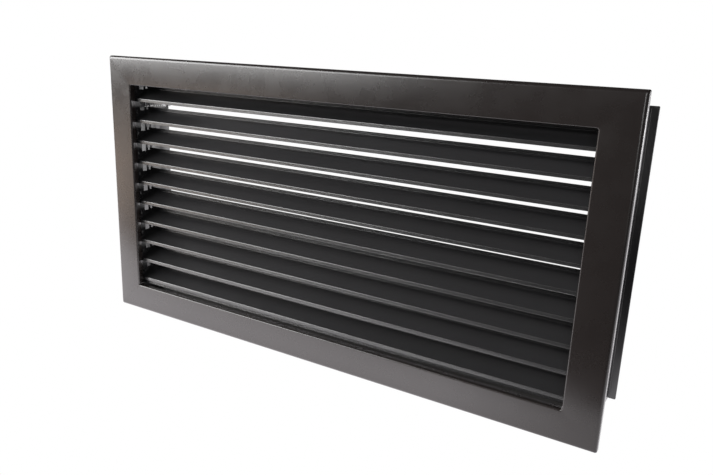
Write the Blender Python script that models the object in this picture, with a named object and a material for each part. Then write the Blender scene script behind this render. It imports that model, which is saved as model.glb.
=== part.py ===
"""Louvred air grille held in a wall frame by four tension springs.

Units are metres, +Z is up and -Y faces the room. The origin is the centre of the grille in the
plane of the wall: the flange stands proud of it on -Y and the wall frame reaches into the wall
on +Y. The front grille (flange, blades, blade holders, rails) slides out along -Y against
the springs; the wall frame (strips, corner angles, rivets, spring pegs) stays put.
"""
import math

import bmesh
import bpy
from mathutils import Matrix, Vector

# Fit between pieces that touch
GAP = 0.0003

# Flange: one pressed plate with a lipped opening
FLANGE_WIDTH = 0.610
FLANGE_HEIGHT = 0.315
SIDE_BORDER = 0.0345
END_BORDER = 0.0325
FACE_Y = -0.0075
SHEET = 0.0015
OUTER_BEND = 0.0035
OUTER_CORNER = 0.0015
INNER_BEND = 0.0017
INNER_CORNER = 0.0018
LIP_DEPTH = 0.0075

# Blades: one extruded section, ten times
BLADE_COUNT = 10
BLADE_PITCH = 0.025
TOP_NOSE_Z = 0.1094
NOSE_Y = FACE_Y + 0.0083
BLADE_DEPTH = 0.0235
BLADE_SHEET = 0.0014
BLADE_SLOPE = math.radians(23.8)
NOSE_HEIGHT = 0.0039
NOSE_RADIUS = 0.0008
UPSTAND_TOP = 0.01345
UPSTAND_SHEET = 0.0012

# Blade holders: L section end plates with windows between the blades
HOLDER_CLEAR = 0.0023
HOLDER_X = FLANGE_WIDTH / 2 - SIDE_BORDER + SHEET + HOLDER_CLEAR
HOLDER_FRONT = FACE_Y + SHEET + GAP
HOLDER_BACK = FACE_Y + 0.0345
HOLDER_LEAF_X = 0.2880
HOLDER_HALF_HEIGHT = 0.1340
# Each window is (front y from the face, back y from the face, bottom and top above the nose)
WINDOWS = (
    (0.0180, 0.0254, 0.0096, 0.0226),
    (0.0275, 0.0326, 0.0104, 0.0226),
    (0.0127, 0.0142, 0.0058, 0.0094),
)

# Rails that tie the two holders together
RAIL_BACK = FACE_Y + 0.0310
BOTTOM_RAIL_FRONT = FACE_Y + 0.0100
BOTTOM_RAIL_TOP = -0.1196
BOTTOM_RAIL_NOSE = 0.0040
TOP_RAIL_FRONT = FACE_Y + 0.0080
TOP_RAIL_BOTTOM = 0.1262
TOP_RAIL_HEIGHT = 0.0070

# Wall frame: four L section strips
FRAME_HALF_WIDTH = 0.2950
FRAME_HALF_HEIGHT = 0.1406
FRAME_FRONT = 0.0005
FRAME_BACK = 0.0750
FRAME_SHEET = 0.0015
FRAME_LIP = 0.0070
LIP_CORNER = 0.0012
SCREW_HOLE_RADIUS = 0.0025
SCREW_HOLE_Y = 0.0560
SIDE_SCREW_Z = 0.0620
END_SCREW_X = (-0.2000, 0.0, 0.2000)

# Corner angles and their rivets, countersunk flush with the outside of the strips
ANGLE_LEG = 0.0220
ANGLE_FRONT = 0.0200
ANGLE_BACK = 0.0500
RIVET_Y = 0.0350
RIVET_INSET = 0.0130
RIVET_RADIUS = 0.0017
RIVET_HEAD_RADIUS = 0.0032
RIVET_RECESS = 0.0001
RIVET_TAIL_RADIUS = 0.0026
RIVET_TAIL_HEIGHT = 0.0012
RIVET_HOLE_RADIUS = RIVET_RADIUS + GAP

# Springs: the front hook holds the bridge between two windows, the rear one holds a peg
SPRING_X = 0.2830
SPRING_ABOVE_NOSE = 0.0141
SPRING_BLADES = {"upper": 1, "lower": 9}
SPRING_RADIUS = 0.0036
SPRING_WIRE = 0.0005
SPRING_TURNS = 6
SPRING_STEPS = 8
COIL_FRONT_Y = FACE_Y + 0.0425
COIL_BACK_Y = FACE_Y + 0.0645
FRONT_HOOK_RADIUS = 0.0023
FRONT_HOOK_Y = FACE_Y + (WINDOWS[0][1] + WINDOWS[1][0]) / 2
REAR_HOOK_RADIUS = 0.0028
HOOK_SWEEP = math.radians(270)
HOOK_STEPS = 9
PEG_RADIUS = 0.0018
PEG_HEAD_RADIUS = 0.0030
PEG_HEAD_HEIGHT = 0.0014
PEG_BASE_RADIUS = 0.0034
PEG_BASE_HEIGHT = 0.0010
PEG_Y = FACE_Y + 0.0735

ROUND_SIDES = 16
CORNER_STEPS = 5


def clear_scene():
    """Remove whatever the file starts with."""
    for item in list(bpy.data.objects):
        bpy.data.objects.remove(item, do_unlink=True)


def make_material(name, colour, roughness, metallic):
    """A Principled BSDF with one colour."""
    material = bpy.data.materials.new(name)
    material.use_nodes = True
    shader = material.node_tree.nodes["Principled BSDF"]
    shader.inputs["Base Color"].default_value = (*colour, 1.0)
    shader.inputs["Roughness"].default_value = roughness
    shader.inputs["Metallic"].default_value = metallic
    return material


def add_object(name, bm, material, smooth_angle=math.radians(35)):
    """Turn a bmesh into a named object with its own material."""
    bmesh.ops.recalc_face_normals(bm, faces=bm.faces)
    mesh = bpy.data.meshes.new(name)
    bm.to_mesh(mesh)
    bm.free()
    mesh.shade_smooth()
    mesh.set_sharp_from_angle(angle=smooth_angle)
    mesh.materials.append(material)
    item = bpy.data.objects.new(name, mesh)
    bpy.context.collection.objects.link(item)
    return item


def extrude_outline(outline, place, low, high):
    """Prism of a closed 2-D outline: place(a, b, t) gives a point, with t from low to high."""
    bm = bmesh.new()
    start = [bm.verts.new(place(a, b, low)) for a, b in outline]
    end = [bm.verts.new(place(a, b, high)) for a, b in outline]
    bm.faces.new(start)
    bm.faces.new(end)
    count = len(outline)
    for i in range(count):
        j = (i + 1) % count
        bm.faces.new((start[i], start[j], end[j], end[i]))
    return bm


def arc(centre, radius, start, end, steps):
    """Points along an arc, angles in radians, both ends included."""
    points = []
    for i in range(steps + 1):
        angle = start + (end - start) * i / steps
        points.append((centre[0] + radius * math.cos(angle), centre[1] + radius * math.sin(angle)))
    return points


def rounded_rectangle(half_width, half_height, radius, y):
    """Loop of points round a rectangle with rounded corners, at one depth."""
    points = []
    for corner in range(4):
        sign_x = 1 if corner in (0, 3) else -1
        sign_z = 1 if corner in (0, 1) else -1
        centre = (sign_x * (half_width - radius), sign_z * (half_height - radius))
        first = corner * math.pi / 2
        for x, z in arc(centre, radius, first, first + math.pi / 2, CORNER_STEPS):
            points.append(Vector((x, y, z)))
    return points


def cut(item, cutter):
    """Subtract a cutter, which stays out of the model."""
    cutter.hide_render = True
    cutter.display_type = "WIRE"
    modifier = item.modifiers.new("cut", "BOOLEAN")
    modifier.operation = "DIFFERENCE"
    modifier.solver = "EXACT"
    modifier.object = cutter


def add_box(bm, low, high):
    """Add a box between two corners to a bmesh."""
    centre = [(a + b) / 2 for a, b in zip(low, high)]
    size = [b - a for a, b in zip(low, high)]
    matrix = Matrix.Translation(centre) @ Matrix.Diagonal((*size, 1.0))
    bmesh.ops.create_cube(bm, size=1.0, matrix=matrix)


def add_drill(bm, centre, axis, radius, length):
    """Add a cylinder along a direction to a bmesh, as a drill for holes."""
    turn = Vector((0, 0, 1)).rotation_difference(Vector(axis)).to_matrix().to_4x4()
    matrix = Matrix.Translation(centre) @ turn
    bmesh.ops.create_cone(
        bm, cap_ends=True, segments=ROUND_SIDES, radius1=radius, radius2=radius,
        depth=length, matrix=matrix,
    )


def add_turned(bm, profile, origin, direction, sides):
    """Add a solid of revolution to a bmesh: profile is (height, radius) from end to end."""
    frame = Vector((0, 0, 1)).rotation_difference(Vector(direction)).to_matrix()
    rings = []
    for height, radius in profile:
        ring = []
        for i in range(sides):
            angle = 2 * math.pi * i / sides
            local = Vector((radius * math.cos(angle), radius * math.sin(angle), height))
            ring.append(bm.verts.new(Vector(origin) + frame @ local))
        rings.append(ring)
    bm.faces.new(rings[0])
    bm.faces.new(rings[-1])
    for lower, upper in zip(rings, rings[1:]):
        for i in range(sides):
            j = (i + 1) % sides
            bm.faces.new((lower[i], lower[j], upper[j], upper[i]))


def turned(name, profile, origin, direction, material, sides):
    """Solid of revolution as an object of its own."""
    bm = bmesh.new()
    add_turned(bm, profile, origin, direction, sides)
    return add_object(name, bm, material)


def add_countersink(bm, outer_point, inward):
    """Add a countersinking drill for a rivet; outer_point is on the strip's outside."""
    above = 0.0010
    mouth = RIVET_HEAD_RADIUS + GAP
    profile = [(-above, mouth + above), (mouth - RIVET_HOLE_RADIUS, RIVET_HOLE_RADIUS),
               (4 * FRAME_SHEET, RIVET_HOLE_RADIUS)]
    add_turned(bm, profile, outer_point, inward, ROUND_SIDES)


def flange_section():
    """Rings of the flange as (which edge, offset from that edge, y).

    The section runs over the front from the wall edge to the opening lip and back behind it.
    """
    quarter = math.pi / 2
    rings = [("outer", 0.0, 0.0)]
    for a, y in arc((OUTER_BEND, FACE_Y + OUTER_BEND), OUTER_BEND, 2 * quarter, 3 * quarter, 5):
        rings.append(("outer", a, y))
    for a, y in arc((INNER_BEND, FACE_Y + INNER_BEND), INNER_BEND, 3 * quarter, 2 * quarter, 4):
        rings.append(("inner", a, y))
    rings.append(("inner", 0.0, FACE_Y + LIP_DEPTH))
    rings.append(("inner", SHEET, FACE_Y + LIP_DEPTH))
    rings.append(("inner", SHEET, FACE_Y + SHEET + 0.0006))
    rings.append(("inner", SHEET + 0.0006, FACE_Y + SHEET))
    back_bend = OUTER_BEND - SHEET
    rings.append(("outer", OUTER_BEND, FACE_Y + SHEET))
    rings.append(("outer", SHEET + back_bend * 0.3, FACE_Y + SHEET + back_bend * 0.3))
    rings.append(("outer", SHEET, FACE_Y + OUTER_BEND))
    rings.append(("outer", SHEET, 0.0))
    return rings


def build_flange(material):
    """Sweep the flange section round the rectangle and close it on itself."""
    opening_half_width = FLANGE_WIDTH / 2 - SIDE_BORDER
    opening_half_height = FLANGE_HEIGHT / 2 - END_BORDER
    bm = bmesh.new()
    loops = []
    for kind, offset, y in flange_section():
        if kind == "outer":
            half_width = FLANGE_WIDTH / 2 - offset
            half_height = FLANGE_HEIGHT / 2 - offset
            radius = OUTER_CORNER + 0.3 * offset
        else:
            half_width = opening_half_width + offset
            half_height = opening_half_height + offset
            radius = INNER_CORNER + offset
        ring = rounded_rectangle(half_width, half_height, radius, y)
        loops.append([bm.verts.new(point) for point in ring])
    count = len(loops[0])
    for loop, following in zip(loops, loops[1:] + loops[:1]):
        for i in range(count):
            j = (i + 1) % count
            bm.faces.new((loop[i], loop[j], following[j], following[i]))
    return add_object("flange", bm, material)


def blade_top(y):
    """Height of the sloping top surface above the nose line, y from the nose."""
    start = NOSE_RADIUS * (1 - math.sin(BLADE_SLOPE))
    drop = NOSE_RADIUS * (1 - math.cos(BLADE_SLOPE))
    return (y - start) * math.tan(BLADE_SLOPE) - drop


def blade_outline():
    """Section of a blade as (y from the nose, z above the nose line)."""
    depth = BLADE_DEPTH
    front = depth - UPSTAND_SHEET
    under = BLADE_SHEET / math.cos(BLADE_SLOPE)
    foot = blade_top(front)
    groove = 0.00035
    # rounded nose, with the two fine grooves of its front face below it
    points = arc((NOSE_RADIUS, -NOSE_RADIUS), NOSE_RADIUS, math.pi / 2 + BLADE_SLOPE, math.pi, 4)
    for top, bottom in ((-0.00100, -0.00150), (-0.00230, -0.00265)):
        points.append((0.0, top))
        points.append((groove, top - 0.0001))
        points.append((groove, bottom + 0.0001))
        points.append((0.0, bottom))
    points.append((0.0, -NOSE_HEIGHT + 0.0002))
    points.append((0.0002, -NOSE_HEIGHT))
    points.append((BLADE_SHEET, -NOSE_HEIGHT))
    # underside, back of the upstand and its rounded top
    points.append((BLADE_SHEET, blade_top(BLADE_SHEET) - under))
    points.append((depth, blade_top(depth) - under))
    points.append((depth, UPSTAND_TOP - 0.0003))
    points.append((depth - 0.0003, UPSTAND_TOP))
    points.append((front + 0.0003, UPSTAND_TOP))
    points.append((front, UPSTAND_TOP - 0.0003))
    # two fine beads on the front of the upstand, the lower one at its foot
    points.append((front, foot + 0.0024))
    points.append((front - 0.0003, foot + 0.0022))
    points.append((front, foot + 0.0020))
    points.append((front, foot + 0.0011))
    points.append((front - 0.0005, foot + 0.0008))
    points.append((front - 0.0005, foot + 0.0004))
    points.append((front - 0.0009, blade_top(front - 0.0009)))
    return points


def build_blade(index, material):
    """One blade between the two holders."""
    nose_z = TOP_NOSE_Z - index * BLADE_PITCH
    half = HOLDER_X - GAP
    bm = extrude_outline(
        blade_outline(), lambda a, b, t: (t, NOSE_Y + a, nose_z + b), -half, half
    )
    return add_object(f"blade_{index + 1:02d}", bm, material)


def build_holder(side, sign, material):
    """L section holder with the windows and slots punched between the blades."""
    outline = [
        (HOLDER_X, HOLDER_BACK),
        (HOLDER_X, HOLDER_FRONT),
        (HOLDER_LEAF_X, HOLDER_FRONT),
        (HOLDER_LEAF_X, HOLDER_FRONT + SHEET),
        (HOLDER_X + SHEET, HOLDER_FRONT + SHEET),
        (HOLDER_X + SHEET, HOLDER_BACK),
    ]
    bm = extrude_outline(
        outline, lambda a, b, t: (sign * a, b, t), -HOLDER_HALF_HEIGHT, HOLDER_HALF_HEIGHT
    )
    holder = add_object(f"blade_holder_{side}", bm, material)
    tool = bmesh.new()
    for index in range(BLADE_COUNT):
        nose_z = TOP_NOSE_Z - index * BLADE_PITCH
        for front, back, bottom, top in WINDOWS:
            ends = sorted((sign * (HOLDER_X - SHEET), sign * (HOLDER_X + 2 * SHEET)))
            add_box(
                tool,
                (ends[0], FACE_Y + front, nose_z + bottom),
                (ends[1], FACE_Y + back, nose_z + top),
            )
    cut(holder, add_object(f"holder_windows_{side}", tool, material))
    return holder


def build_bottom_rail(material):
    """Flat rail with a ribbed nose right below the last blade."""
    nose = BOTTOM_RAIL_NOSE
    rib = 0.0004
    outline = [(0.0006, 0.0), (0.0, -0.0006)]
    for step in range(3):
        top = -0.0009 - step * 0.0010
        outline.append((0.0, top))
        outline.append((rib, top - 0.0002))
        outline.append((rib, top - 0.0004))
        outline.append((0.0, top - 0.0006))
    back = RAIL_BACK - BOTTOM_RAIL_FRONT
    outline += [
        (0.0, -nose), (back, -nose), (back, 0.0), (back - SHEET, 0.0),
        (back - SHEET, SHEET - nose), (SHEET, SHEET - nose), (SHEET, 0.0),
    ]
    half = HOLDER_X - GAP
    bm = extrude_outline(
        outline,
        lambda a, b, t: (t, BOTTOM_RAIL_FRONT + a, BOTTOM_RAIL_TOP + b),
        -half, half,
    )
    return add_object("bottom_rail", bm, material)


def build_top_rail(material):
    """Upside-down channel above the first blade, hidden by the flange."""
    depth = RAIL_BACK - TOP_RAIL_FRONT
    outline = [
        (0.0, 0.0), (SHEET, 0.0), (SHEET, TOP_RAIL_HEIGHT - SHEET),
        (depth - SHEET, TOP_RAIL_HEIGHT - SHEET), (depth - SHEET, 0.0), (depth, 0.0),
        (depth, TOP_RAIL_HEIGHT), (0.0, TOP_RAIL_HEIGHT),
    ]
    half = HOLDER_X - GAP
    bm = extrude_outline(
        outline,
        lambda a, b, t: (t, TOP_RAIL_FRONT + a, TOP_RAIL_BOTTOM + b),
        -half, half,
    )
    return add_object("top_rail", bm, material)


def strip_outline():
    """Section of a wall frame strip: (distance out from the wall's inner face, y)."""
    bend = 0.0008
    edge = FRAME_SHEET
    points = [(0.0, FRAME_FRONT), (edge, FRAME_FRONT), (edge, FRAME_BACK - edge - 0.0006)]
    points.append((edge + 0.0006, FRAME_BACK - edge))
    points.append((edge + FRAME_LIP, FRAME_BACK - edge))
    points.append((edge + FRAME_LIP, FRAME_BACK))
    points += arc((bend, FRAME_BACK - bend), bend, math.pi / 2, math.pi, 3)
    return points


def round_lip_corners(bm, is_corner):
    """Bevel the two outer corners of a strip's rear lip."""
    edges = [
        edge for edge in bm.edges
        if all(is_corner(vert.co) for vert in edge.verts)
        and abs(edge.verts[0].co.y - edge.verts[1].co.y) > FRAME_SHEET / 2
    ]
    bmesh.ops.bevel(
        bm, geom=edges, offset=LIP_CORNER, offset_type="OFFSET", segments=4, profile=0.5,
        affect="EDGES", clamp_overlap=True,
    )


def build_side_strip(side, sign, material):
    """Upright strip of the wall frame with its rear lip, screw holes and rivet holes."""
    inner = FRAME_HALF_WIDTH - FRAME_SHEET
    half = FRAME_HALF_HEIGHT
    outer = FRAME_HALF_WIDTH + FRAME_LIP
    bm = extrude_outline(
        strip_outline(), lambda a, b, t: (sign * (inner + a), b, t), -half, half
    )
    round_lip_corners(
        bm, lambda co: abs(abs(co.x) - outer) < 1e-5 and abs(abs(co.z) - half) < 1e-5
    )
    strip = add_object(f"wall_frame_{side}", bm, material)
    tool = bmesh.new()
    for up in (-1, 1):
        centre = (sign * inner, SCREW_HOLE_Y, up * SIDE_SCREW_Z)
        add_drill(tool, centre, (1, 0, 0), SCREW_HOLE_RADIUS, 8 * FRAME_SHEET)
        point = (sign * FRAME_HALF_WIDTH, RIVET_Y, up * (half - RIVET_INSET))
        add_countersink(tool, point, (-sign, 0, 0))
    cut(strip, add_object(f"wall_frame_{side}_drill", tool, material))
    return strip


def build_end_strip(end, sign, material):
    """Top or bottom strip of the wall frame, fitted between the side strips."""
    inner = FRAME_HALF_HEIGHT - FRAME_SHEET
    half = FRAME_HALF_WIDTH - FRAME_SHEET - GAP
    outer = FRAME_HALF_HEIGHT + FRAME_LIP
    bm = extrude_outline(
        strip_outline(), lambda a, b, t: (t, b, sign * (inner + a)), -half, half
    )
    round_lip_corners(
        bm, lambda co: abs(abs(co.z) - outer) < 1e-5 and abs(abs(co.x) - half) < 1e-5
    )
    strip = add_object(f"wall_frame_{end}", bm, material)
    tool = bmesh.new()
    for x in END_SCREW_X:
        add_drill(tool, (x, SCREW_HOLE_Y, sign * inner), (0, 0, 1), SCREW_HOLE_RADIUS,
                  8 * FRAME_SHEET)
    for across in (-1, 1):
        point = (across * (FRAME_HALF_WIDTH - RIVET_INSET), RIVET_Y, sign * FRAME_HALF_HEIGHT)
        add_countersink(tool, point, (0, 0, -sign))
    cut(strip, add_object(f"wall_frame_{end}_drill", tool, material))
    return strip


def build_corner_angle(name, across, up, material):
    """Small angle inside one corner of the wall frame."""
    x0 = FRAME_HALF_WIDTH - FRAME_SHEET - GAP
    z0 = FRAME_HALF_HEIGHT - FRAME_SHEET - GAP
    leg = ANGLE_LEG
    sheet = FRAME_SHEET
    outline = [
        (x0, z0), (x0 - leg, z0), (x0 - leg, z0 - sheet),
        (x0 - sheet, z0 - sheet), (x0 - sheet, z0 - leg), (x0, z0 - leg),
    ]
    bm = extrude_outline(
        outline, lambda a, b, t: (across * a, t, up * b), ANGLE_FRONT, ANGLE_BACK
    )
    angle = add_object(f"corner_angle_{name}", bm, material)
    tool = bmesh.new()
    side_hole = (across * x0, RIVET_Y, up * (FRAME_HALF_HEIGHT - RIVET_INSET))
    end_hole = (across * (FRAME_HALF_WIDTH - RIVET_INSET), RIVET_Y, up * z0)
    add_drill(tool, side_hole, (1, 0, 0), RIVET_HOLE_RADIUS, 8 * sheet)
    add_drill(tool, end_hole, (0, 0, 1), RIVET_HOLE_RADIUS, 8 * sheet)
    cut(angle, add_object(f"corner_angle_{name}_drill", tool, material))
    return angle


def build_rivet(name, outer_point, inward, material):
    """Countersunk rivet through a strip and a corner angle, with its upset tail inside."""
    stack = 2 * FRAME_SHEET + 2 * GAP
    tail = RIVET_TAIL_RADIUS
    profile = [
        (RIVET_RECESS, RIVET_HEAD_RADIUS - RIVET_RECESS),
        (RIVET_HEAD_RADIUS - RIVET_RADIUS, RIVET_RADIUS),
        (stack, RIVET_RADIUS), (stack, tail), (stack + 0.8 * RIVET_TAIL_HEIGHT, 0.9 * tail),
        (stack + RIVET_TAIL_HEIGHT, 0.5 * tail),
    ]
    return turned(f"rivet_{name}", profile, outer_point, inward, material, sides=12)


def build_peg(name, base, direction, reach, material):
    """Headed peg that stands on a plate; reach is the plate to the middle of the hook."""
    shaft_end = reach + SPRING_WIRE + 0.0005
    profile = [
        (0.0, PEG_BASE_RADIUS), (PEG_BASE_HEIGHT, PEG_BASE_RADIUS),
        (PEG_BASE_HEIGHT, PEG_RADIUS), (shaft_end, PEG_RADIUS),
        (shaft_end, PEG_HEAD_RADIUS), (shaft_end + 0.6 * PEG_HEAD_HEIGHT, PEG_HEAD_RADIUS),
        (shaft_end + PEG_HEAD_HEIGHT, 0.6 * PEG_HEAD_RADIUS),
    ]
    return turned(name, profile, base, direction, material, sides=12)


def spring_points(sign, height):
    """Centre line of a tension spring that lies along Y: front hook, neck, coil, rear hook."""
    points = []
    # the front hook turns round the bridge of the holder in a level plane
    hook_x = HOLDER_X + SHEET / 2
    for i in range(HOOK_STEPS + 1):
        angle = math.pi / 3 + HOOK_SWEEP * (HOOK_STEPS - i) / HOOK_STEPS
        along = FRONT_HOOK_RADIUS * math.sin(angle)
        inward = FRONT_HOOK_RADIUS * math.cos(angle)
        points.append(Vector((sign * (hook_x + inward), FRONT_HOOK_Y + along, height)))
    # the coil
    steps = SPRING_TURNS * SPRING_STEPS
    for i in range(steps + 1):
        angle = 2 * math.pi * i / SPRING_STEPS
        x = SPRING_X - SPRING_RADIUS * math.cos(angle)
        y = COIL_FRONT_Y + (COIL_BACK_Y - COIL_FRONT_Y) * i / steps
        points.append(Vector((sign * x, y, height + SPRING_RADIUS * math.sin(angle))))
    # the rear hook turns round the peg in an upright plane
    for i in range(HOOK_STEPS + 1):
        angle = math.pi - HOOK_SWEEP * i / HOOK_STEPS
        y = PEG_Y + REAR_HOOK_RADIUS * math.cos(angle)
        z = height + REAR_HOOK_RADIUS * math.sin(angle)
        points.append(Vector((sign * SPRING_X, y, z)))
    return points


def build_spring(name, sign, height, material):
    """Wire swept along the spring's centre line."""
    curve = bpy.data.curves.new(name, "CURVE")
    curve.dimensions = "3D"
    curve.bevel_depth = SPRING_WIRE
    curve.bevel_resolution = 1
    curve.use_fill_caps = True
    points = spring_points(sign, height)
    spline = curve.splines.new("POLY")
    spline.points.add(len(points) - 1)
    for slot, point in zip(spline.points, points):
        slot.co = (*point, 1.0)
    curve.materials.append(material)
    item = bpy.data.objects.new(name, curve)
    bpy.context.collection.objects.link(item)
    return item


def build_spring_set(level, side, sign, spring_material, peg_material):
    """One spring and the peg on the wall frame that holds its rear hook."""
    height = TOP_NOSE_Z - SPRING_BLADES[level] * BLADE_PITCH + SPRING_ABOVE_NOSE
    base = (sign * (FRAME_HALF_WIDTH - FRAME_SHEET - GAP), PEG_Y, height)
    reach = base[0] * sign - SPRING_X
    build_peg(f"spring_peg_{level}_{side}", base, (-sign, 0, 0), reach, peg_material)
    build_spring(f"spring_{level}_{side}", sign, height, spring_material)


def main():
    clear_scene()
    coat = make_material("black_coat", (0.030, 0.030, 0.032), 0.42, 0.0)
    blade_coat = make_material("blade_coat", (0.026, 0.027, 0.029), 0.38, 0.0)
    frame_coat = make_material("frame_coat", (0.024, 0.024, 0.026), 0.45, 0.0)
    zinc = make_material("zinc_steel", (0.62, 0.62, 0.60), 0.30, 1.0)
    rivet_coat = make_material("rivet_alloy", (0.50, 0.50, 0.51), 0.38, 1.0)

    build_flange(coat)
    for index in range(BLADE_COUNT):
        build_blade(index, blade_coat)
    build_bottom_rail(blade_coat)
    build_top_rail(blade_coat)

    for side, sign in (("left", -1), ("right", 1)):
        build_holder(side, sign, coat)
        build_side_strip(side, sign, frame_coat)
        for level in ("upper", "lower"):
            build_spring_set(level, side, sign, zinc, rivet_coat)
    for end, up in (("top", 1), ("bottom", -1)):
        build_end_strip(end, up, frame_coat)
        for side, across in (("left", -1), ("right", 1)):
            name = f"{end}_{side}"
            build_corner_angle(name, across, up, frame_coat)
            inset_z = up * (FRAME_HALF_HEIGHT - RIVET_INSET)
            inset_x = across * (FRAME_HALF_WIDTH - RIVET_INSET)
            build_rivet(f"{name}_side", (across * FRAME_HALF_WIDTH, RIVET_Y, inset_z),
                        (-across, 0, 0), rivet_coat)
            build_rivet(f"{name}_end", (inset_x, RIVET_Y, up * FRAME_HALF_HEIGHT),
                        (0, 0, -up), rivet_coat)


main()
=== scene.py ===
"""Looks of the louvred air grille: fine meshes, powder coat, zinc springs and soft studio light.

Everything is in metres in the CAD frame: +Z up, -Y towards the room, the wall plane at y = 0.
"""
import math

import bmesh
import bpy
from mathutils import Matrix, Vector


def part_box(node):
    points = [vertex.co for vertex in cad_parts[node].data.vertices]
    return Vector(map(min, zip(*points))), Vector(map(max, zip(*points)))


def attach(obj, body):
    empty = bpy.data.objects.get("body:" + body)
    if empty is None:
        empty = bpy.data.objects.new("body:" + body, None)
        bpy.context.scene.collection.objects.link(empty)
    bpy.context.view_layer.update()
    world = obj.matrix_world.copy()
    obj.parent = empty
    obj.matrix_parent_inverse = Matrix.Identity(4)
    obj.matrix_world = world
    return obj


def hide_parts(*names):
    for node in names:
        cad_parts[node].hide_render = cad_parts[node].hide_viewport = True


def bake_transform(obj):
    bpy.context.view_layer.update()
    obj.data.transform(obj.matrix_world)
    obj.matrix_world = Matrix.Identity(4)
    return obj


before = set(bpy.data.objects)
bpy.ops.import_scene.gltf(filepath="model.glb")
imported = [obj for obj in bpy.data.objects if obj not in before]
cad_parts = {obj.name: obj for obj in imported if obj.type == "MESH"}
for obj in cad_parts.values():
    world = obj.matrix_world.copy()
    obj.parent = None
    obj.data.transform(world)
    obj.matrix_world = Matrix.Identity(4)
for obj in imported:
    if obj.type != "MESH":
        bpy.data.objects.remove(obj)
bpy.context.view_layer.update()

SHEET = 0.0015
GAP = 0.0003

# Flange section
SIDE_BORDER = 0.0345
END_BORDER = 0.0325
OUTER_BEND = 0.0035
INNER_BEND = 0.0017
OUTER_CORNER = 0.0015
INNER_CORNER = 0.0018
LIP_DEPTH = 0.0075

# Blade section
NOSE_HEIGHT = 0.0039
NOSE_RADIUS = 0.0008
# Grooves in the front of the nose, as (top, bottom) from the nose line, and their depth
NOSE_GROOVES = ((-0.00100, -0.00150), (-0.00230, -0.00265))
NOSE_GROOVE_DEPTH = 0.00035
BLADE_SHEET = 0.0014
BLADE_SLOPE = math.radians(23.8)
UPSTAND_SHEET = 0.0012
SOFT_EDGE = 0.00018
# Half-round beads on the front of the upstand: (height above its foot, radius)
UPSTAND_BEADS = ((0.00230, 0.00034), (0.00080, 0.00045))
# How far the top of the upstand leans forward of its foot
UPSTAND_LEAN = 0.0012

# Holder windows: front and back measured from the face, bottom and top above the nose line
WINDOWS = (
    (0.0180, 0.0254, 0.0096, 0.0226),
    (0.0275, 0.0326, 0.0104, 0.0226),
    (0.0127, 0.0142, 0.0058, 0.0094),
)

# Wall frame
DRILL_LENGTH = 0.0120
SCREW_HOLE_RADIUS = 0.0025
SCREW_HOLE_Y = 0.0560
SIDE_SCREW_Z = (-0.0620, 0.0620)
END_SCREW_X = (-0.2000, 0.0, 0.2000)
RIVET_Y = 0.0350
RIVET_INSET = 0.0130
RIVET_RADIUS = 0.0017
RIVET_HOLE_RADIUS = RIVET_RADIUS + GAP
RIVET_HEAD_RADIUS = 0.0032
RIVET_RECESS = 0.0001
RIVET_TAIL_RADIUS = 0.0026
RIVET_TAIL_HEIGHT = 0.0012
LIP_CORNER_RADIUS = 0.0012

# Grooves that leave grip ribs on the end legs of the corner angles, measured from the rivet line
ANGLE_GROOVES = (-0.0135, -0.0105, -0.0075, 0.0060, 0.0090, 0.0120)

# Springs
SPRING_RADIUS = 0.0036
SPRING_WIRE = 0.0005
SPRING_TURNS = 6
HOOK_SWEEP = math.radians(270)
HOOK_STEPS = 18
FRONT_HOOK_RADIUS = 0.0023
REAR_HOOK_RADIUS = 0.0028
# Where the coils start and end, measured from the face
COIL_FRONT = 0.0425
COIL_BACK = 0.0645
STEPS_PER_TURN = 20

FLANGE_LOW, FLANGE_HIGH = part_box("flange")
FACE_Y = FLANGE_LOW.y
HALF_WIDTH = FLANGE_HIGH.x
HALF_HEIGHT = FLANGE_HIGH.z
FLOOR_Z = FLANGE_LOW.z
BLADES = [f"blade_{i:02d}" for i in range(1, 11)]
SIDES = (("left", -1), ("right", 1))


# ---------------------------------------------------------------- meshes


def finish_mesh(name, bm, material, body, replaced, angle=35):
    """Turn a bmesh into a smooth-shaded piece that rides on a body in place of CAD nodes."""
    bmesh.ops.recalc_face_normals(bm, faces=bm.faces)
    mesh = bpy.data.meshes.new(name)
    bm.to_mesh(mesh)
    bm.free()
    mesh.shade_smooth()
    mesh.set_sharp_from_angle(angle=math.radians(angle))
    mesh.materials.append(material)
    piece = bpy.data.objects.new(name, mesh)
    bpy.context.collection.objects.link(piece)
    if body:
        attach(piece, body)
    if replaced:
        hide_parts(*replaced)
    return piece


def round_corners(outline, steps=3):
    """Outline of (a, b, radius) corners with each corner rounded by its radius."""
    result = []
    count = len(outline)
    for i, (a, b, radius) in enumerate(outline):
        here = Vector((a, b))
        before = Vector(outline[i - 1][:2]) - here
        after = Vector(outline[(i + 1) % count][:2]) - here
        if radius <= 0 or before.length < 1e-9 or after.length < 1e-9:
            result.append((a, b))
            continue
        turn = before.angle(after)
        if turn > math.pi - 0.02:
            result.append((a, b))
            continue
        reach = min(radius / math.tan(turn / 2), 0.48 * before.length, 0.48 * after.length)
        start = here + before.normalized() * reach
        end = here + after.normalized() * reach
        for step in range(steps + 1):
            t = step / steps
            point = start * (1 - t) ** 2 + here * 2 * t * (1 - t) + end * t * t
            result.append((point.x, point.y))
    return result


def prism(outline, place, stations):
    """Prism along a list of stations: place(a, b, t) gives a point."""
    bm = bmesh.new()
    rings = [[bm.verts.new(place(a, b, t)) for a, b in outline] for t in stations]
    bm.faces.new(rings[0])
    bm.faces.new(rings[-1])
    count = len(outline)
    for ring, following in zip(rings, rings[1:]):
        for i in range(count):
            j = (i + 1) % count
            bm.faces.new((ring[i], ring[j], following[j], following[i]))
    return bm


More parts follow.
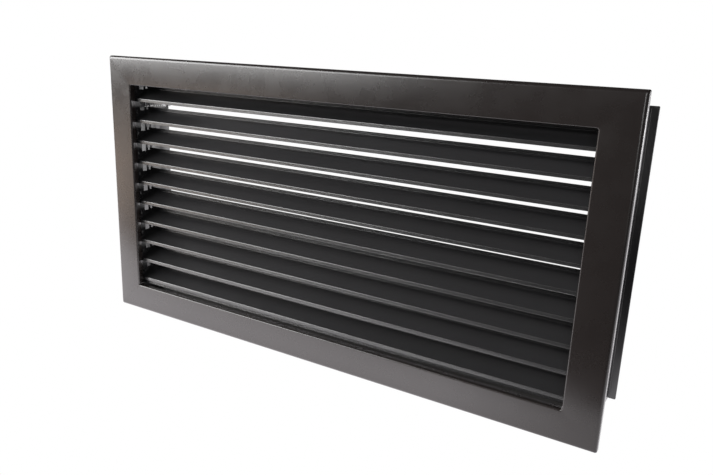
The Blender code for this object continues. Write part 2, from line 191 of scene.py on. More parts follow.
def arc(centre, radius, start, end, steps):
    """Points along an arc, both ends included."""
    angles = [start + (end - start) * i / steps for i in range(steps + 1)]
    return [(centre[0] + radius * math.cos(t), centre[1] + radius * math.sin(t)) for t in angles]


def box_into(bm, low, high):
    """Add a box between two corners to a bmesh."""
    low, high = Vector(low), Vector(high)
    size = high - low
    matrix = Matrix.Translation((low + high) / 2) @ Matrix.Diagonal((*size, 1.0))
    bmesh.ops.create_cube(bm, size=1.0, matrix=matrix)


def drill_into(bm, centre, axis, radius, length=DRILL_LENGTH):
    """Add a drill cylinder along an axis to a bmesh."""
    turn = Vector((0, 0, 1)).rotation_difference(Vector(axis)).to_matrix().to_4x4()
    bmesh.ops.create_cone(
        bm, cap_ends=True, segments=28, radius1=radius, radius2=radius, depth=length,
        matrix=Matrix.Translation(centre) @ turn,
    )


def cut_and_soften(piece, tool_bm, bevel=0.00025):
    """Cut a tool out of a piece, then round the sharp edges a little."""
    mesh = bpy.data.meshes.new("tool")
    bmesh.ops.recalc_face_normals(tool_bm, faces=tool_bm.faces)
    tool_bm.to_mesh(mesh)
    tool_bm.free()
    tool = bpy.data.objects.new("tool", mesh)
    bpy.context.collection.objects.link(tool)
    cut = piece.modifiers.new("cut", "BOOLEAN")
    cut.operation = "DIFFERENCE"
    cut.solver = "EXACT"
    cut.object = tool
    soft = piece.modifiers.new("soft", "BEVEL")
    soft.width = bevel
    soft.segments = 2
    soft.limit_method = "ANGLE"
    soft.angle_limit = math.radians(50)
    soft.use_clamp_overlap = True
    bpy.context.view_layer.update()
    evaluated = piece.evaluated_get(bpy.context.evaluated_depsgraph_get())
    made = bpy.data.meshes.new_from_object(evaluated)
    piece.modifiers.clear()
    piece.data = made
    made.shade_smooth()
    made.set_sharp_from_angle(angle=math.radians(35))
    bpy.data.objects.remove(tool)


def turned_into(bm, profile, origin, direction, sides=32):
    """Add a solid of revolution, from (height, radius) pairs, closed at both ends."""
    turn = Vector((0, 0, 1)).rotation_difference(Vector(direction)).to_matrix()
    rings = []
    for height, radius in profile:
        ring = []
        for i in range(sides):
            angle = 2 * math.pi * i / sides
            local = Vector((radius * math.cos(angle), radius * math.sin(angle), height))
            ring.append(bm.verts.new(Vector(origin) + turn @ local))
        rings.append(ring)
    bm.faces.new(rings[0])
    bm.faces.new(rings[-1])
    for lower, upper in zip(rings, rings[1:]):
        for i in range(sides):
            j = (i + 1) % sides
            bm.faces.new((lower[i], lower[j], upper[j], upper[i]))


def turned(name, profile, origin, direction, material, body, replaced):
    """Solid of revolution as a piece of its own."""
    bm = bmesh.new()
    turned_into(bm, profile, origin, direction)
    return finish_mesh(name, bm, material, body, replaced)


def countersink_into(bm, outer_point, inward):
    """Add a countersinking drill to a bmesh; outer_point is on the outside of the sheet."""
    above = 0.0010
    mouth = RIVET_HEAD_RADIUS + GAP
    profile = [(-above, mouth + above), (mouth - RIVET_HOLE_RADIUS, RIVET_HOLE_RADIUS),
               (4 * SHEET, RIVET_HOLE_RADIUS)]
    turned_into(bm, profile, outer_point, inward)


def swept(name, points, radius, material, replaced, sides=10):
    """Round wire along a list of points, with domed ends."""
    bm = bmesh.new()
    rings = []
    tangent = (points[1] - points[0]).normalized()
    across = tangent.orthogonal().normalized()
    for i, point in enumerate(points):
        ahead = points[min(i + 1, len(points) - 1)] - points[max(i - 1, 0)]
        new = ahead.normalized()
        across = (tangent.rotation_difference(new) @ across).normalized()
        tangent = new
        up = tangent.cross(across)
        ring = []
        for k in range(sides):
            angle = 2 * math.pi * k / sides
            offset = across * math.cos(angle) + up * math.sin(angle)
            ring.append(bm.verts.new(point + radius * offset))
        rings.append(ring)
    for ring, following in zip(rings, rings[1:]):
        for k in range(sides):
            j = (k + 1) % sides
            bm.faces.new((ring[k], ring[j], following[j], following[k]))
    tips = (points[0] * 2 - points[1], points[-1] * 2 - points[-2])
    for ring, tip in zip((rings[0], rings[-1]), tips):
        centre = sum((v.co for v in ring), Vector()) / sides
        peak = bm.verts.new(centre + (tip - centre).normalized() * radius * 0.7)
        for k in range(sides):
            bm.faces.new((ring[k], ring[(k + 1) % sides], peak))
    return finish_mesh(name, bm, material, None, replaced, angle=60)


# ---------------------------------------------------------------- materials


def powder_coat(name, colour, roughness, grain=1.0, ior=1.5):
    """Satin powder coat: fine orange peel, cloudy sheen and sparse dust."""
    material = bpy.data.materials.new(name)
    material.use_nodes = True
    nodes, links = material.node_tree.nodes, material.node_tree.links
    shader = nodes["Principled BSDF"]
    shader.inputs["IOR"].default_value = ior
    place = nodes.new("ShaderNodeTexCoord").outputs["Object"]

    def noise_at(scale, detail, rough=0.5):
        texture = nodes.new("ShaderNodeTexNoise")
        texture.inputs["Scale"].default_value = scale
        texture.inputs["Detail"].default_value = detail
        texture.inputs["Roughness"].default_value = rough
        links.new(place, texture.inputs["Vector"])
        return texture.outputs["Fac"]

    def remap(value, low, high, to_low, to_high):
        step = nodes.new("ShaderNodeMapRange")
        step.inputs["From Min"].default_value = low
        step.inputs["From Max"].default_value = high
        step.inputs["To Min"].default_value = to_low
        step.inputs["To Max"].default_value = to_high
        links.new(value, step.inputs["Value"])
        return step.outputs["Result"]

    def mix_colour(factor, first, second):
        mix = nodes.new("ShaderNodeMix")
        mix.data_type = "RGBA"
        links.new(factor, mix.inputs["Factor"])
        for slot_name, value in (("A", first), ("B", second)):
            socket = [s for s in mix.inputs if s.name == slot_name and s.type == "RGBA"][0]
            if isinstance(value, tuple):
                socket.default_value = (*value, 1.0)
            else:
                links.new(value, socket)
        return [s for s in mix.outputs if s.type == "RGBA"][0]

    # colour: faint clouding, and dust caught here and there
    cloud = noise_at(14.0, 3.0)
    darker = tuple(c * 0.86 for c in colour)
    lighter = tuple(c * 1.16 for c in colour)
    base = mix_colour(cloud, darker, lighter)
    cells = nodes.new("ShaderNodeTexVoronoi")
    cells.inputs["Scale"].default_value = 190.0
    links.new(place, cells.inputs["Vector"])
    speck = remap(cells.outputs["Distance"], 0.045, 0.085, 1.0, 0.0)
    pick = nodes.new("ShaderNodeSeparateColor")
    links.new(cells.outputs["Color"], pick.inputs["Color"])
    rare = remap(pick.outputs["Red"], 0.985, 0.995, 0.0, 0.5)
    both = nodes.new("ShaderNodeMath")
    both.operation = "MULTIPLY"
    links.new(speck, both.inputs[0])
    links.new(rare, both.inputs[1])
    dusty = mix_colour(both.outputs[0], base, (0.30, 0.29, 0.27))
    links.new(dusty, shader.inputs["Base Color"])

    # sheen: smooth clouds with handling marks in the roughness
    marks = noise_at(36.0, 4.0, 0.6)
    sheen = remap(marks, 0.3, 0.7, roughness - 0.03, roughness + 0.04)
    links.new(sheen, shader.inputs["Roughness"])

    # relief: orange peel of the coat under a very fine grain
    peel = nodes.new("ShaderNodeBump")
    peel.inputs["Strength"].default_value = 0.10 * grain
    peel.inputs["Distance"].default_value = 0.00025
    links.new(noise_at(700.0, 2.0), peel.inputs["Height"])
    fine = nodes.new("ShaderNodeBump")
    fine.inputs["Strength"].default_value = 0.12 * grain
    fine.inputs["Distance"].default_value = 0.00010
    links.new(noise_at(2600.0, 1.0), fine.inputs["Height"])
    links.new(peel.outputs["Normal"], fine.inputs["Normal"])
    links.new(fine.outputs["Normal"], shader.inputs["Normal"])
    return material


def bare_metal(name, colour, roughness, streak):
    """Bare drawn or turned metal with fine streaks and slight dulling."""
    material = bpy.data.materials.new(name)
    material.use_nodes = True
    nodes, links = material.node_tree.nodes, material.node_tree.links
    shader = nodes["Principled BSDF"]
    shader.inputs["Metallic"].default_value = 1.0
    place = nodes.new("ShaderNodeTexCoord").outputs["Object"]
    stretch = nodes.new("ShaderNodeMapping")
    stretch.inputs["Scale"].default_value = streak
    links.new(place, stretch.inputs["Vector"])
    texture = nodes.new("ShaderNodeTexNoise")
    texture.inputs["Scale"].default_value = 900.0
    texture.inputs["Detail"].default_value = 3.0
    links.new(stretch.outputs["Vector"], texture.inputs["Vector"])
    ramp = nodes.new("ShaderNodeValToRGB")
    ramp.color_ramp.elements[0].position = 0.3
    ramp.color_ramp.elements[0].color = (*(c * 0.7 for c in colour), 1.0)
    ramp.color_ramp.elements[1].position = 0.7
    ramp.color_ramp.elements[1].color = (*colour, 1.0)
    links.new(texture.outputs["Fac"], ramp.inputs["Fac"])
    links.new(ramp.outputs["Color"], shader.inputs["Base Color"])
    rough = nodes.new("ShaderNodeMapRange")
    rough.inputs["To Min"].default_value = roughness - 0.06
    rough.inputs["To Max"].default_value = roughness + 0.08
    links.new(texture.outputs["Fac"], rough.inputs["Value"])
    links.new(rough.outputs["Result"], shader.inputs["Roughness"])
    bump = nodes.new("ShaderNodeBump")
    bump.inputs["Strength"].default_value = 0.15
    bump.inputs["Distance"].default_value = 0.00005
    links.new(texture.outputs["Fac"], bump.inputs["Height"])
    links.new(bump.outputs["Normal"], shader.inputs["Normal"])
    return material


FLANGE_COAT = powder_coat("flange_coat", (0.0118, 0.0092, 0.0086), 0.27)
BLADE_COAT = powder_coat("blade_coat", (0.0100, 0.0100, 0.0106), 0.31, ior=1.75)
HOLDER_COAT = powder_coat("holder_coat", (0.0080, 0.0080, 0.0086), 0.45, grain=1.4)
FRAME_COAT = powder_coat("frame_coat", (0.0080, 0.0080, 0.0086), 0.30, grain=1.2, ior=1.6)
ZINC = bare_metal("zinc_wire", (0.62, 0.62, 0.60), 0.30, (1.0, 0.3, 1.0))
ALLOY = bare_metal("rivet_alloy", (0.52, 0.52, 0.53), 0.36, (1.0, 1.0, 1.0))


# ---------------------------------------------------------------- pieces


def rectangle_loop(half_width, half_height, radius, y, steps=8):
    """Loop of points round a rectangle with rounded corners, at one depth."""
    points = []
    for corner in range(4):
        sign_x = 1 if corner in (0, 3) else -1
        sign_z = 1 if corner in (0, 1) else -1
        centre = (sign_x * (half_width - radius), sign_z * (half_height - radius))
        first = corner * math.pi / 2
        for x, z in arc(centre, radius, first, first + math.pi / 2, steps):
            points.append(Vector((x, y, z)))
    return points


def make_flange():
    """Pressed plate: return edge, outer bend, flat face, opening bend and lip."""
    quarter = math.pi / 2
    back = OUTER_BEND - SHEET
    rings = [("outer", 0.0003, FLANGE_HIGH.y), ("outer", 0.0, FLANGE_HIGH.y - 0.0003)]
    centre = (OUTER_BEND, FACE_Y + OUTER_BEND)
    rings += [("outer", a, y) for a, y in arc(centre, OUTER_BEND, 2 * quarter, 3 * quarter, 12)]
    centre = (INNER_BEND, FACE_Y + INNER_BEND)
    rings += [("inner", a, y) for a, y in arc(centre, INNER_BEND, 3 * quarter, 2 * quarter, 8)]
    rings.append(("inner", 0.0, FACE_Y + LIP_DEPTH - 0.0003))
    rings.append(("inner", 0.0003, FACE_Y + LIP_DEPTH))
    rings.append(("inner", SHEET - 0.0003, FACE_Y + LIP_DEPTH))
    rings.append(("inner", SHEET, FACE_Y + LIP_DEPTH - 0.0003))
    rings.append(("inner", SHEET, FACE_Y + SHEET + 0.0006))
    rings.append(("inner", SHEET + 0.0006, FACE_Y + SHEET))
    rings += [("outer", a, y) for a, y in
              arc((OUTER_BEND, FACE_Y + OUTER_BEND), back, 3 * quarter, 2 * quarter, 6)]
    rings.append(("outer", SHEET, FLANGE_HIGH.y - 0.0003))
    rings.append(("outer", SHEET - 0.0003, FLANGE_HIGH.y))
    bm = bmesh.new()
    loops = []
    for kind, offset, y in rings:
        if kind == "outer":
            size = (HALF_WIDTH - offset, HALF_HEIGHT - offset, OUTER_CORNER + 0.3 * offset)
        else:
            size = (HALF_WIDTH - SIDE_BORDER + offset, HALF_HEIGHT - END_BORDER + offset,
                    INNER_CORNER + offset)
        loops.append([bm.verts.new(point) for point in rectangle_loop(*size, y)])
    count = len(loops[0])
    for loop, following in zip(loops, loops[1:] + loops[:1]):
        for i in range(count):
            j = (i + 1) % count
            bm.faces.new((loop[i], loop[j], following[j], following[i]))
    return finish_mesh("flange_plate", bm, FLANGE_COAT, "grille", ["flange"], angle=50)


def blade_top(y):
    """Height of the sloping top above the nose line, y from the nose."""
    start = NOSE_RADIUS * (1 - math.sin(BLADE_SLOPE))
    return (y - start) * math.tan(BLADE_SLOPE) - NOSE_RADIUS * (1 - math.cos(BLADE_SLOPE))


def blade_section(depth, top):
    """Blade section as (y from the nose, z above the nose line), with softened corners."""
    front = depth - UPSTAND_SHEET
    under = BLADE_SHEET / math.cos(BLADE_SLOPE)
    foot = blade_top(front)
    soft = SOFT_EDGE
    bead = arc((NOSE_RADIUS, -NOSE_RADIUS), NOSE_RADIUS, math.pi / 2 + BLADE_SLOPE, math.pi, 8)
    corners = [(a, b, 0.0) for a, b in bead]
    for upper, lower in NOSE_GROOVES:
        corners.append((0.0, upper, 0.00008))
        corners.append((NOSE_GROOVE_DEPTH, upper - 0.0001, 0.00006))
        corners.append((NOSE_GROOVE_DEPTH, lower + 0.0001, 0.00006))
        corners.append((0.0, lower, 0.00008))
    corners.append((0.0, -NOSE_HEIGHT, soft * 2))
    corners.append((BLADE_SHEET, -NOSE_HEIGHT, soft))
    corners.append((BLADE_SHEET, blade_top(BLADE_SHEET) - under, 0.0009))
    corners.append((depth, blade_top(depth) - under, soft))
    corners.append((depth - UPSTAND_LEAN, top, 0.00008))
    corners.append((front - UPSTAND_LEAN, top, 0.00008))
    for height, radius in UPSTAND_BEADS:
        face = front - UPSTAND_LEAN * height / (top - foot)
        half_round = arc((face, foot + height), radius, math.pi / 2, 3 * math.pi / 2, 8)
        corners += [(a, b, 0.0) for a, b in half_round]
    corners.append((front - 0.0009, blade_top(front - 0.0009), 0.0003))
    return round_corners(corners, 3)


def make_blades():
    """Ten extruded blades between the holders."""
    for node in BLADES:
        low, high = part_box(node)
        nose_z = low.z + NOSE_HEIGHT
        section = blade_section(high.y - low.y, high.z - nose_z)
        stations = [low.x, low.x + 0.0004, high.x - 0.0004, high.x]
        bm = prism(section, lambda a, b, t: (t, low.y + a, nose_z + b), stations)
        finish_mesh(node + "_profile", bm, BLADE_COAT, "grille", [node])


def make_rails():
    """Ribbed bottom rail and plain top rail."""
    low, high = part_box("bottom_rail")
    depth, nose = high.y - low.y, high.z - low.z
    rib, soft = 0.0004, SOFT_EDGE
    corners = [(0.0006, 0.0, soft), (0.0, -0.0006, soft)]
    for step in range(3):
        top = -0.0009 - step * 0.0010
        corners.append((0.0, top, 0.0001))
        corners.append((rib, top - 0.0002, 0.0001))
        corners.append((rib, top - 0.0004, 0.0001))
        corners.append((0.0, top - 0.0006, 0.0001))
    corners += [(0.0, -nose, 0.0003), (depth, -nose, soft), (depth, 0.0, soft),
                (depth - SHEET, 0.0, soft), (depth - SHEET, SHEET - nose, 0.0006),
                (SHEET, SHEET - nose, 0.0006), (SHEET, 0.0, soft)]
    bm = prism(round_corners(corners), lambda a, b, t: (t, low.y + a, high.z + b), [low.x, high.x])
    finish_mesh("bottom_rail_profile", bm, BLADE_COAT, "grille", ["bottom_rail"])

    low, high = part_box("top_rail")
    depth, height = high.y - low.y, high.z - low.z
    corners = [(0.0, 0.0, soft), (SHEET, 0.0, soft), (SHEET, height - SHEET, 0.0006),
               (depth - SHEET, height - SHEET, 0.0006), (depth - SHEET, 0.0, soft),
               (depth, 0.0, soft), (depth, height, 0.0012), (0.0, height, 0.0012)]
    bm = prism(round_corners(corners, 4), lambda a, b, t: (t, low.y + a, low.z + b),
               [low.x, high.x])
    finish_mesh("top_rail_profile", bm, BLADE_COAT, "grille", ["top_rail"])


def make_holders():
    """Folded blade holders with windows and slots between the blades."""
    for side, sign in SIDES:
        node = f"blade_holder_{side}"
        low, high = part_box(node)
        inner = min(abs(low.x), abs(high.x))
        outer = max(abs(low.x), abs(high.x))
        corners = [
            (inner, high.y, SOFT_EDGE), (inner, low.y, 0.0022), (outer, low.y, SOFT_EDGE),
            (outer, low.y + SHEET, SOFT_EDGE), (inner + SHEET, low.y + SHEET, 0.0008),
            (inner + SHEET, high.y, SOFT_EDGE),
        ]
        bm = prism(round_corners(corners, 6), lambda a, b, t: (sign * a, b, t), [low.z, high.z])
        piece = finish_mesh(f"holder_plate_{side}", bm, HOLDER_COAT, "grille", [node])
        tool = bmesh.new()
        for blade in BLADES:
            nose_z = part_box(blade)[0].z + NOSE_HEIGHT
            for front, back, bottom, top in WINDOWS:
                ends = sorted((sign * (inner - 0.002), sign * (inner + 0.004)))
                box_into(tool, (ends[0], FACE_Y + front, nose_z + bottom),
                         (ends[1], FACE_Y + back, nose_z + top))
        cut_and_soften(piece, tool)


def strip_corners(low_out, high_out, front, back):
    """Section of a wall frame strip: an upright wall with a lip turned out at the back."""
    return [
        (low_out, front, SOFT_EDGE), (low_out + SHEET, front, SOFT_EDGE),
        (low_out + SHEET, back - SHEET, 0.0006), (high_out, back - SHEET, SOFT_EDGE),
        (high_out, back, SOFT_EDGE), (low_out, back, 0.0010),
    ]


def make_wall_frame():
    """Four folded strips with screw and rivet holes."""
    for side, sign in SIDES:
        node = f"wall_frame_{side}"
        low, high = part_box(node)
        inner, outer = sorted((abs(low.x), abs(high.x)))
        section = round_corners(strip_corners(inner, outer, low.y, high.y), 5)
        bm = prism(section, lambda a, b, t: (sign * a, b, t), [low.z, high.z])
        piece = finish_mesh(f"side_strip_{side}", bm, FRAME_COAT, "wall_frame",
                            [node])
        tool = bmesh.new()
        for z in SIDE_SCREW_Z:
            drill_into(tool, (sign * inner, SCREW_HOLE_Y, z), (1, 0, 0), SCREW_HOLE_RADIUS)
        for z in (low.z + RIVET_INSET, high.z - RIVET_INSET):
            point = (sign * (inner + SHEET), RIVET_Y, z)
            countersink_into(tool, point, (-sign, 0, 0))
        clip_lip_corners(tool, outer, high.y, low.z, high.z, lambda a, y, t: (sign * a, y, t))
        cut_and_soften(piece, tool, 0.0002)
    side_inner = min(abs(v.x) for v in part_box("wall_frame_right"))
    for end, sign in (("bottom", -1), ("top", 1)):
        node = f"wall_frame_{end}"
        low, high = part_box(node)
        inner, outer = sorted((abs(low.z), abs(high.z)))
        section = round_corners(strip_corners(inner, outer, low.y, high.y), 5)
        bm = prism(section, lambda a, b, t: (t, b, sign * a), [low.x, high.x])
        piece = finish_mesh(f"end_strip_{end}", bm, FRAME_COAT, "wall_frame", [node])
        tool = bmesh.new()
        for x in END_SCREW_X:
            drill_into(tool, (x, SCREW_HOLE_Y, sign * inner), (0, 0, 1), SCREW_HOLE_RADIUS)
        rivet_x = side_inner + SHEET - RIVET_INSET
        for x in (-rivet_x, rivet_x):
            countersink_into(tool, (x, RIVET_Y, sign * (inner + SHEET)), (0, 0, -sign))
        clip_lip_corners(tool, outer, high.y, low.x, high.x, lambda a, y, t: (t, y, sign * a))
        cut_and_soften(piece, tool, 0.0002)


def clip_lip_corners(bm, outer, back, start, end, place):
    """Add tools that round the two outer corners of a rear lip."""
    radius = LIP_CORNER_RADIUS
    for corner, inward in ((start, 1), (end, -1)):
        centre = (outer - radius, corner + inward * radius)
        points = [(outer + 0.001, corner - inward * 0.001), (outer + 0.001, centre[1])]
        for step in range(7):
            angle = math.pi / 2 * step / 6
            points.append((centre[0] + radius * math.cos(angle),
                           centre[1] - inward * radius * math.sin(angle)))
        points.append((centre[0], corner - inward * 0.001))
        rings = [[bm.verts.new(place(a, y, t)) for a, t in points]
                 for y in (back - 0.003, back + 0.001)]
        bm.faces.new(rings[0])
        bm.faces.new(rings[1])
        count = len(points)
        for i in range(count):
            j = (i + 1) % count
            bm.faces.new((rings[0][i], rings[0][j], rings[1][j], rings[1][i]))


def make_corner_angles():
    """Corner angles with grooves between grip ribs on the end leg."""
    for end, up in (("bottom", -1), ("top", 1)):
        for side, across in SIDES:
            node = f"corner_angle_{end}_{side}"
            low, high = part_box(node)
            x_near, x_far = sorted((abs(low.x), abs(high.x)))
            z_near, z_far = sorted((abs(low.z), abs(high.z)))
            corners = [
                (x_far, z_far, 0.0008), (x_near, z_far, SOFT_EDGE),
                (x_near, z_far - SHEET, SOFT_EDGE),
                (x_far - SHEET, z_far - SHEET, 0.0012), (x_far - SHEET, z_near, SOFT_EDGE),
                (x_far, z_near, SOFT_EDGE),
            ]
            bm = prism(round_corners(corners, 4), lambda a, b, t: (across * a, t, up * b),
                       [low.y, high.y])
            piece = finish_mesh(f"angle_{end}_{side}", bm, FRAME_COAT, "wall_frame",
                                [node])
            tool = bmesh.new()
            hole_z = up * (z_far + GAP + SHEET - RIVET_INSET)
            hole_x = across * (x_far + GAP + SHEET - RIVET_INSET)
            drill_into(tool, (across * x_far, RIVET_Y, hole_z), (1, 0, 0), RIVET_HOLE_RADIUS)
            drill_into(tool, (hole_x, RIVET_Y, up * z_far), (0, 0, 1), RIVET_HOLE_RADIUS)
            for offset in ANGLE_GROOVES:
                y = RIVET_Y + offset
                ends = sorted((across * (x_near - 0.001), across * (x_far - 0.004)))
                level = sorted((up * (z_far - SHEET - 0.001), up * (z_far - SHEET + 0.0004)))
                box_into(tool, (ends[0], y, level[0]), (ends[1], y + 0.0014, level[1]))
            cut_and_soften(piece, tool, 0.0002)


def make_rivets():
    """Countersunk rivets, flush outside with the broken stem in the middle, upset inside."""
    for end, up in (("bottom", -1), ("top", 1)):
        for side, across in SIDES:
            for kind in ("side", "end"):
                node = f"rivet_{end}_{side}_{kind}"
                low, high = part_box(node)
                centre = (low + high) / 2
                if kind == "side":
                    inward = Vector((-across, 0, 0))
                    outside = max(abs(low.x), abs(high.x))
                    start = Vector((across * outside, centre.y, centre.z))
                    length = high.x - low.x
                else:
                    inward = Vector((0, 0, -up))
                    outside = max(abs(low.z), abs(high.z))
                    start = Vector((centre.x, centre.y, up * outside))
                    length = high.z - low.z
                head = RIVET_HEAD_RADIUS - RIVET_RECESS
                tail = RIVET_TAIL_RADIUS
                tail_start = length - RIVET_TAIL_HEIGHT
                profile = [
                    (0.00045, 0.0003), (0.00045, 0.00080), (0.00006, 0.00100), (0.0, 0.00120),
                    (0.0, head - 0.00030), (0.00006, head - 0.00012), (0.00020, head - 0.00020),
                    (head - RIVET_RADIUS, RIVET_RADIUS), (tail_start, RIVET_RADIUS),
                    (tail_start, tail), (length - 0.0004, 0.93 * tail),
                    (length - 0.0001, 0.75 * tail), (length, 0.5 * tail),
                ]
                turned(f"{node}_body", profile, start, inward, ALLOY, "wall_frame",
                       [node])


def smooth_path(points, divisions):
    """Catmull-Rom curve through points."""
    padded = [points[0] * 2 - points[1]] + points + [points[-1] * 2 - points[-2]]
    result = []
    for i in range(len(points) - 1):
        a, b, c, d = padded[i:i + 4]
        for step in range(divisions):
            t = step / divisions
            result.append(0.5 * ((2 * b) + (c - a) * t + (2 * a - 5 * b + 4 * c - d) * t * t
                                 + (3 * b - a - 3 * c + d) * t ** 3))
    result.append(points[-1])
    return result


def make_springs():
    """Tension springs, stretched between the holder's windows and the pegs on the wall frame."""
    for level in ("upper", "lower"):
        for side, sign in SIDES:
            node = f"spring_{level}_{side}"
            low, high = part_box(node)
            peg_low, peg_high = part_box(f"spring_peg_{level}_{side}")
            peg_y = (peg_low.y + peg_high.y) / 2
            height = (peg_low.z + peg_high.z) / 2
            spring_x = max(abs(low.x), abs(high.x)) - SPRING_RADIUS - SPRING_WIRE
            holder_low, holder_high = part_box(f"blade_holder_{side}")
            hook_x = min(abs(holder_low.x), abs(holder_high.x)) + SHEET / 2
            hook_y = FACE_Y + (WINDOWS[0][1] + WINDOWS[1][0]) / 2
            points = []
            for i in range(HOOK_STEPS + 1):
                angle = math.pi / 3 + HOOK_SWEEP * (HOOK_STEPS - i) / HOOK_STEPS
                x = hook_x + FRONT_HOOK_RADIUS * math.cos(angle)
                y = hook_y + FRONT_HOOK_RADIUS * math.sin(angle)
                points.append(Vector((sign * x, y, height)))
            coil_front, coil_back = FACE_Y + COIL_FRONT, FACE_Y + COIL_BACK
            points.append(Vector((sign * (hook_x + 0.0022), hook_y + 0.0062, height)))
            total = SPRING_TURNS * STEPS_PER_TURN
            for i in range(total + 1):
                angle = 2 * math.pi * i / STEPS_PER_TURN
                x = spring_x - SPRING_RADIUS * math.cos(angle)
                y = coil_front + (coil_back - coil_front) * i / total
                points.append(Vector((sign * x, y, height + SPRING_RADIUS * math.sin(angle))))
            for i in range(HOOK_STEPS + 1):
                angle = math.pi - HOOK_SWEEP * i / HOOK_STEPS
                points.append(Vector((sign * spring_x, peg_y + REAR_HOOK_RADIUS * math.cos(angle),
                                      height + REAR_HOOK_RADIUS * math.sin(angle))))
            piece = swept(f"{node}_wire", smooth_path(points, 2), SPRING_WIRE, ZINC,
                          [node])
            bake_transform(piece)


def make_pegs():
    """Headed pegs that the rear hooks hang on."""
    for level in ("upper", "lower"):
        for side, sign in SIDES:
            node = f"spring_peg_{level}_{side}"
            low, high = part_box(node)
            length = high.x - low.x
            base = Vector((sign * max(abs(low.x), abs(high.x)), (low.y + high.y) / 2,
                           (low.z + high.z) / 2))
            head = length - 0.0014
            profile = [(0.0, 0.0034), (0.0008, 0.0034), (0.0010, 0.0032), (0.0010, 0.0020),
                       (0.0012, 0.0018), (head, 0.0018), (head, 0.0028), (head + 0.0002, 0.0030),
                       (head + 0.0008, 0.0030), (head + 0.0012, 0.0025), (length, 0.0018)]
            turned(f"{node}_body", profile, base, (-sign, 0, 0), ALLOY, "wall_frame",
                   [node])


make_flange()
make_blades()
make_rails()
make_holders()
make_wall_frame()
make_corner_angles()
make_rivets()
make_springs()
make_pegs()


# ---------------------------------------------------------------- stage, light and camera


# Radiance of the table top in reflections, a painted light map: before the grille, in a painted
# shade under and just behind it, behind it, and far off or to its right
FLOOR_FRONT = 3.3
FLOOR_SHADE = 0.4
FLOOR_NEAR = 3.4
FLOOR_FAR = 1.6


def make_floor():
    """Plain white table top: evenly white to the eye; in reflections it glows with painted light,
    brighter near the grille, with a painted shade under and just behind it.
    """
    bm = bmesh.new()
    corners = ((-3.0, -0.34), (-0.30, -0.20), (0.40, -0.07), (3.0, 0.10), (3.0, 8.0), (-3.0, 8.0))
    bm.faces.new([bm.verts.new((x, y, FLOOR_Z - 0.0002)) for x, y in corners])
    mesh = bpy.data.meshes.new("floor")
    bm.to_mesh(mesh)
    bm.free()
    material = bpy.data.materials.new("floor_white")
    material.use_nodes = True
    nodes, links = material.node_tree.nodes, material.node_tree.links
    nodes.remove(nodes["Principled BSDF"])
    split = nodes.new("ShaderNodeSeparateXYZ")
    links.new(nodes.new("ShaderNodeTexCoord").outputs["Object"], split.inputs["Vector"])

    def fade(value, start, end, low, high):
        step = nodes.new("ShaderNodeMapRange")
        step.interpolation_type = "SMOOTHSTEP"
        for slot_name, number in (("From Min", start), ("From Max", end), ("To Min", low),
                                  ("To Max", high)):
            step.inputs[slot_name].default_value = number
        links.new(value, step.inputs["Value"])
        return step.outputs["Result"]

    def blend(factor, first, second):
        step = nodes.new("ShaderNodeMix")
        links.new(factor, step.inputs["Factor"])
        for slot_name, value in (("A", first), ("B", second)):
            if isinstance(value, float):
                step.inputs[slot_name].default_value = value
            else:
                links.new(value, step.inputs[slot_name])
        return step.outputs["Result"]

    # painted shade of the grille on the glowing floor, rising to the bright glow behind it
    past_shade = fade(split.outputs["Y"], 0.12, 0.30, FLOOR_SHADE, FLOOR_NEAR)
    to_back = fade(split.outputs["Y"], 0.55, 0.80, 0.0, 1.0)
    to_side = fade(split.outputs["X"], 0.12, 0.32, 0.0, 1.0)
    in_front = fade(split.outputs["Y"], 0.08, -0.04, 0.0, 1.0)
    behind = blend(to_back, past_shade, FLOOR_FAR)
    strength = blend(to_side, blend(in_front, behind, FLOOR_FRONT), FLOOR_FAR)
    glow = nodes.new("ShaderNodeEmission")
    glow.inputs["Color"].default_value = (1.0, 0.97, 1.0, 1.0)
    links.new(strength, glow.inputs["Strength"])
    seen = nodes.new("ShaderNodeEmission")
    seen.inputs["Strength"].default_value = 1.0
    mix = nodes.new("ShaderNodeMixShader")
    links.new(nodes.new("ShaderNodeLightPath").outputs["Is Camera Ray"], mix.inputs["Fac"])
    links.new(glow.outputs["Emission"], mix.inputs[1])
    links.new(seen.outputs["Emission"], mix.inputs[2])
    links.new(mix.outputs["Shader"], nodes["Material Output"].inputs["Surface"])
    mesh.materials.append(material)
    floor = bpy.data.objects.new("floor", mesh)
    bpy.context.collection.objects.link(floor)


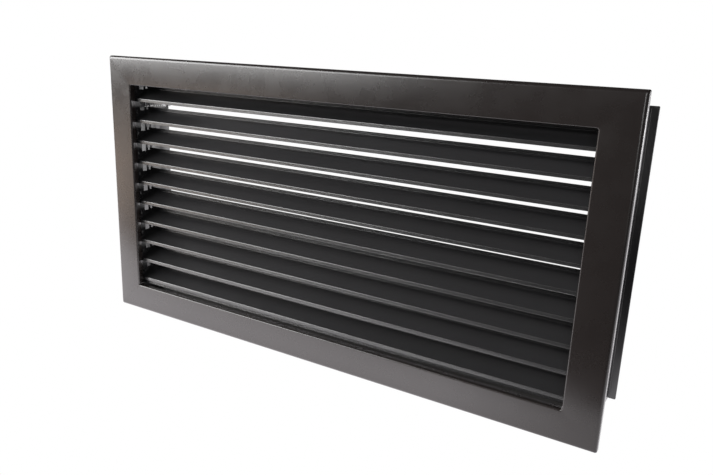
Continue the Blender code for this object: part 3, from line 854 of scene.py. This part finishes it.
def make_world():
    """White surroundings for the eye, a dark room for the reflections."""
    world = bpy.data.worlds.new("studio")
    bpy.context.scene.world = world
    world.use_nodes = True
    nodes, links = world.node_tree.nodes, world.node_tree.links
    seen = nodes["Background"]
    seen.inputs["Color"].default_value = (1.0, 1.0, 1.0, 1.0)
    seen.inputs["Strength"].default_value = 1.0
    room = nodes.new("ShaderNodeBackground")
    room.inputs["Color"].default_value = (1.0, 0.95, 0.93, 1.0)
    room.inputs["Strength"].default_value = 0.12
    ray = nodes.new("ShaderNodeLightPath")
    mix = nodes.new("ShaderNodeMixShader")
    links.new(ray.outputs["Is Camera Ray"], mix.inputs["Fac"])
    links.new(room.outputs["Background"], mix.inputs[1])
    links.new(seen.outputs["Background"], mix.inputs[2])
    links.new(mix.outputs["Shader"], nodes["World Output"].inputs["Surface"])


def softbox(name, azimuth, elevation, width, height, radiance, colour=(1.0, 1.0, 1.0),
            distance=1.6):
    """Softbox aimed at the grille; azimuth 0 is straight in front, negative to the left."""
    data = bpy.data.lights.new(name, "AREA")
    data.shape = "RECTANGLE"
    data.size = width
    data.size_y = height
    data.energy = radiance * math.pi * width * height
    data.color = colour
    light = bpy.data.objects.new(name, data)
    bpy.context.collection.objects.link(light)
    a, e = math.radians(azimuth), math.radians(elevation)
    away = Vector((math.sin(a) * math.cos(e), -math.cos(a) * math.cos(e), math.sin(e)))
    light.location = away * distance
    light.rotation_euler = (-away).to_track_quat("-Z", "Y").to_euler()
    light.visible_camera = False


def make_lights():
    """Key and fill from the front, a window behind the grille and a low warm light."""
    softbox("key_left", -52, 21, 1.42, 0.86, 12.5)
    softbox("fill_right", 36, 12, 0.35, 0.60, 9.0)
    softbox("window_back", 138.5, -1, 0.60, 0.30, 13.0, distance=2.0)
    softbox("room_left", -56, -8, 0.9, 0.30, 2.9, (1.0, 0.80, 0.66))


CAMERA_PLACE = (0.3974, -0.5839, 0.1833)
CAMERA_RIGHT = (0.85049, 0.52459, 0.03848)
CAMERA_FORWARD = (-0.49681, 0.82518, -0.26881)
CAMERA_LENS = 35.2


def make_camera():
    """Camera at the height of the top edge, right of the grille, looking down along the blades."""
    right = Vector(CAMERA_RIGHT).normalized()
    forward = Vector(CAMERA_FORWARD).normalized()
    up = right.cross(forward).normalized()
    data = bpy.data.cameras.new("camera")
    data.lens = CAMERA_LENS
    data.sensor_width = 36.0
    data.clip_start = 0.01
    camera = bpy.data.objects.new("camera", data)
    bpy.context.collection.objects.link(camera)
    turn = Matrix((right, up, -forward)).transposed().to_4x4()
    camera.matrix_world = Matrix.Translation(CAMERA_PLACE) @ turn
    bpy.context.scene.camera = camera


make_floor()
make_world()
make_lights()
make_camera()
bpy.context.scene.view_settings.view_transform = "Standard"
